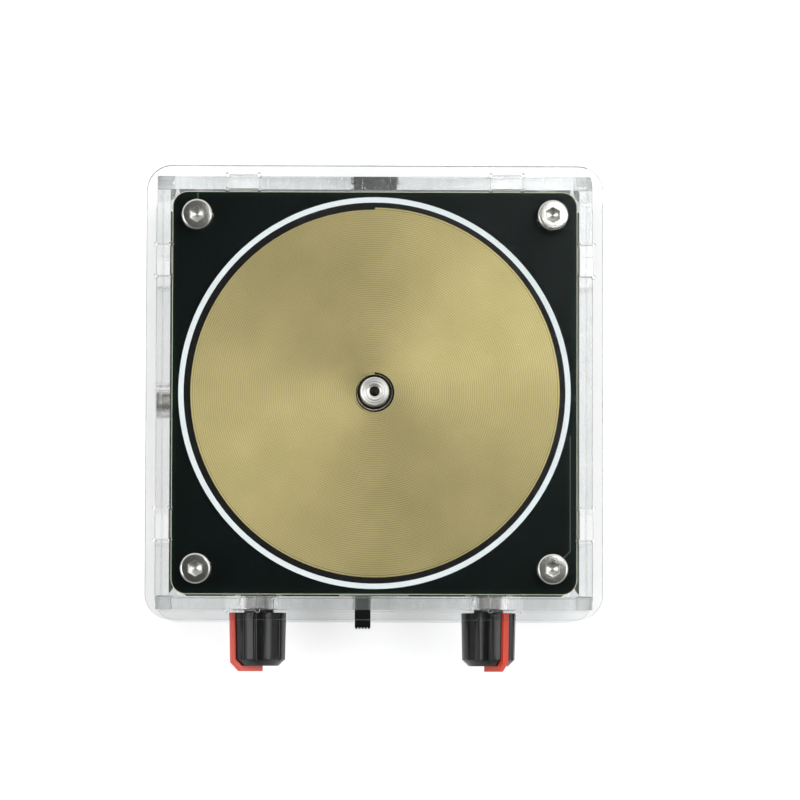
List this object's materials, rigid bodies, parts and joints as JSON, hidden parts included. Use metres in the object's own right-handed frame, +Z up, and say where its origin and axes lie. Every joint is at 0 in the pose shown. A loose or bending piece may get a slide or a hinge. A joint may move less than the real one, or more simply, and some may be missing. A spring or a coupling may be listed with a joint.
{
  "type": "desktop resonant transformer",
  "caption": "Desktop resonant transformer: a flat spiral secondary on a black board with a central discharge terminal, in a clear box with front knobs and a slide switch.",
  "frame": {"origin": "centre of the base plate's underside, on the axis of the discharge terminal", "axes": "+Z up along the terminal's axis, +Y to the rear with the power socket, -Y to the front with the knobs, +X to the right seen from the front"},
  "size_m": [0.09, 0.0997, 0.0478],
  "materials": {
    "clear_acrylic": "polished clear sheet with laser-cut edges",
    "board_black": "black solder mask, satin",
    "winding": "fine copper traces under lacquer",
    "print_white": "white screen print",
    "copper": "tinned and lacquered copper",
    "nickel": "nickel plate, turned",
    "knob_plastic": "moulded, satin black",
    "pointer_red": "moulded, orange-red",
    "black_plastic": "moulded black",
    "sheet_steel": "tin-plated sheet",
    "anodised": "black anodised extrusion",
    "epoxy": "moulded epoxy",
    "can_sleeve": "shrink sleeve",
    "ferrite": "sintered ferrite",
    "wire_sleeve": "insulated wire"
  },
  "bodies": {
    "case": {"base_plate": "clear_acrylic", "top_plate": "clear_acrylic", "front_wall": "clear_acrylic", "rear_wall": "clear_acrylic", "left_wall": "clear_acrylic", "right_wall": "clear_acrylic", "coil_board": "board_black", "secondary_winding": "winding", "printed_ring": "print_white", "primary_winding": "copper", "discharge_terminal": "nickel", "terminal_nut": "nickel", "top_screws": "nickel", "long_spacers": "nickel", "driver_board": "board_black", "short_spacers": "nickel", "base_screws": "nickel", "left_potentiometer": "black_plastic", "right_potentiometer": "black_plastic", "switch_frame": "sheet_steel", "power_socket": "black_plastic", "power_contact": "nickel", "audio_socket": "black_plastic", "heat_sink": "anodised", "power_transistors": "epoxy", "transistor_screws": "nickel", "capacitors": "can_sleeve", "feedback_ring": "ferrite", "ring_winding": "copper", "controller_chips": "epoxy", "coil_links": "wire_sleeve"},
    "left_control": {"left_shaft": "black_plastic", "left_knob": "knob_plastic", "left_pointer": "pointer_red"},
    "right_control": {"right_shaft": "black_plastic", "right_knob": "knob_plastic", "right_pointer": "pointer_red"},
    "mode_slider": {"switch_lever": "black_plastic"}
  },
  "joints": [
    {"name": "left_knob_turn", "type": "hinge", "parent": "case", "child": "left_control", "pos_m": [-0.0232, -0.0431, 0.0171], "axis": [0, 1, 0], "range_deg": [-84, 216]},
    {"name": "right_knob_turn", "type": "hinge", "parent": "case", "child": "right_control", "pos_m": [0.0232, -0.0431, 0.0171], "axis": [0, 1, 0], "range_deg": [-184, 116]},
    {"name": "mode_switch_slide", "type": "slide", "parent": "case", "child": "mode_slider", "axis": [1, 0, 0], "range_m": [0, 0.0043]}
  ]
}
